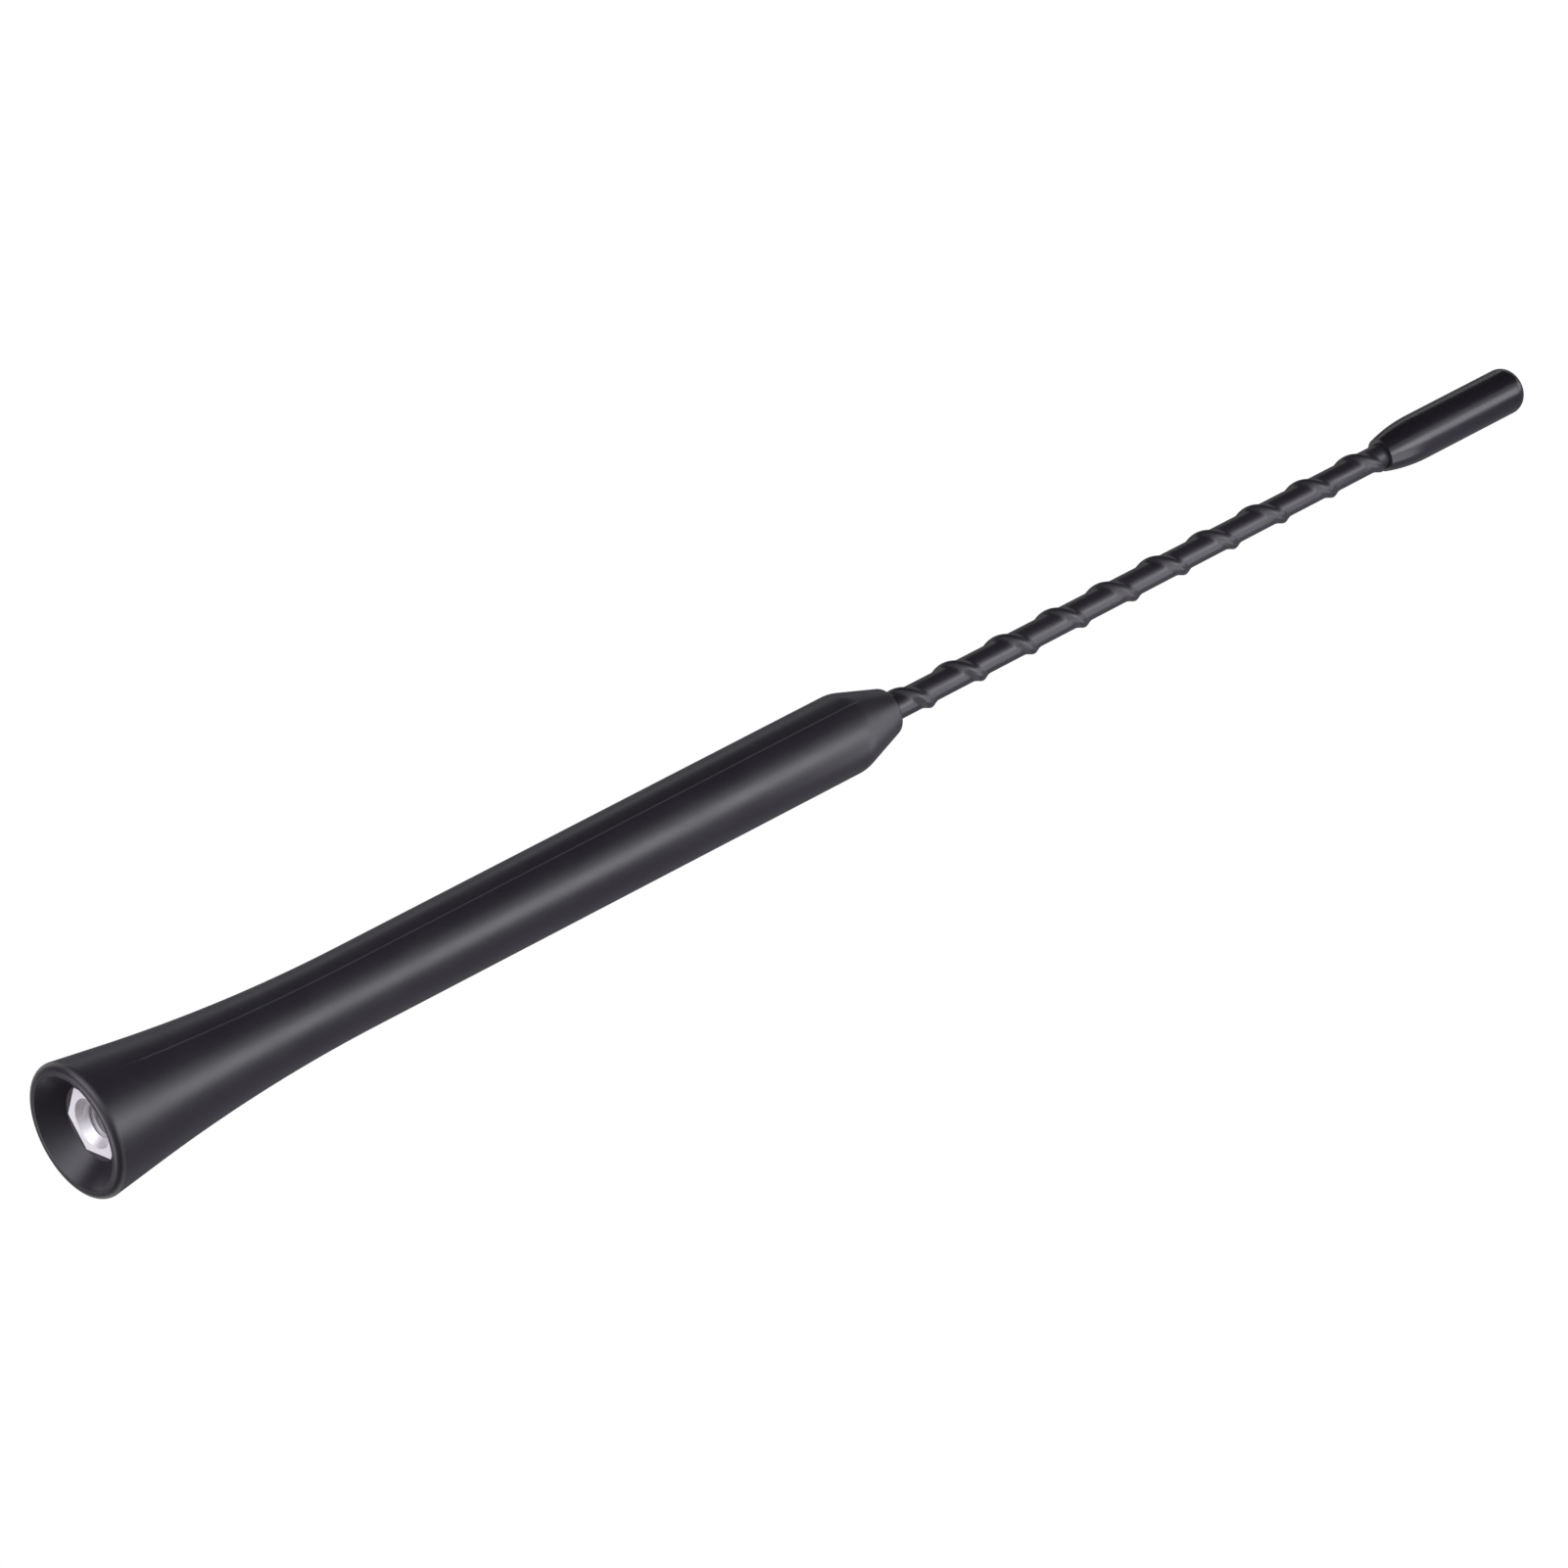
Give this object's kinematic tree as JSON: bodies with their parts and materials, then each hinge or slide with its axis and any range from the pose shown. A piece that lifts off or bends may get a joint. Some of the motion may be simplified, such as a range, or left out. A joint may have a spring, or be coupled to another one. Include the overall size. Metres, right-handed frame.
{
  "type": "car mast aerial",
  "caption": "Screw-on car mast aerial: a flared moulded grip with a threaded socket in its mouth, a thin whip with a helical ridge, and a rounded tip cap.",
  "frame": {"origin": "centre of the open mouth of the grip, in the plane of its rim", "axes": "+Z runs along the mast from the mouth to the tip; a flat of the socket's hexagon faces +Y"},
  "size_m": [0.0206, 0.0204, 0.28],
  "materials": {
    "grip_rubber": "soft matt moulded",
    "socket_nickel": "bright nickel plate on brass",
    "rod_fibreglass": "drawn fibreglass",
    "wire_copper": "enamelled copper",
    "sleeve_film": "shrunk film",
    "whip_plastic": "satin drawn",
    "cap_plastic": "smooth moulded"
  },
  "bodies": {
    "root": {"grip": "grip_rubber", "thread_socket": "socket_nickel", "core_rod": "rod_fibreglass", "aerial_wire": "wire_copper", "coil_sleeve": "sleeve_film", "whip_jacket": "whip_plastic", "tip_cap": "cap_plastic"}
  },
  "joints": []
}
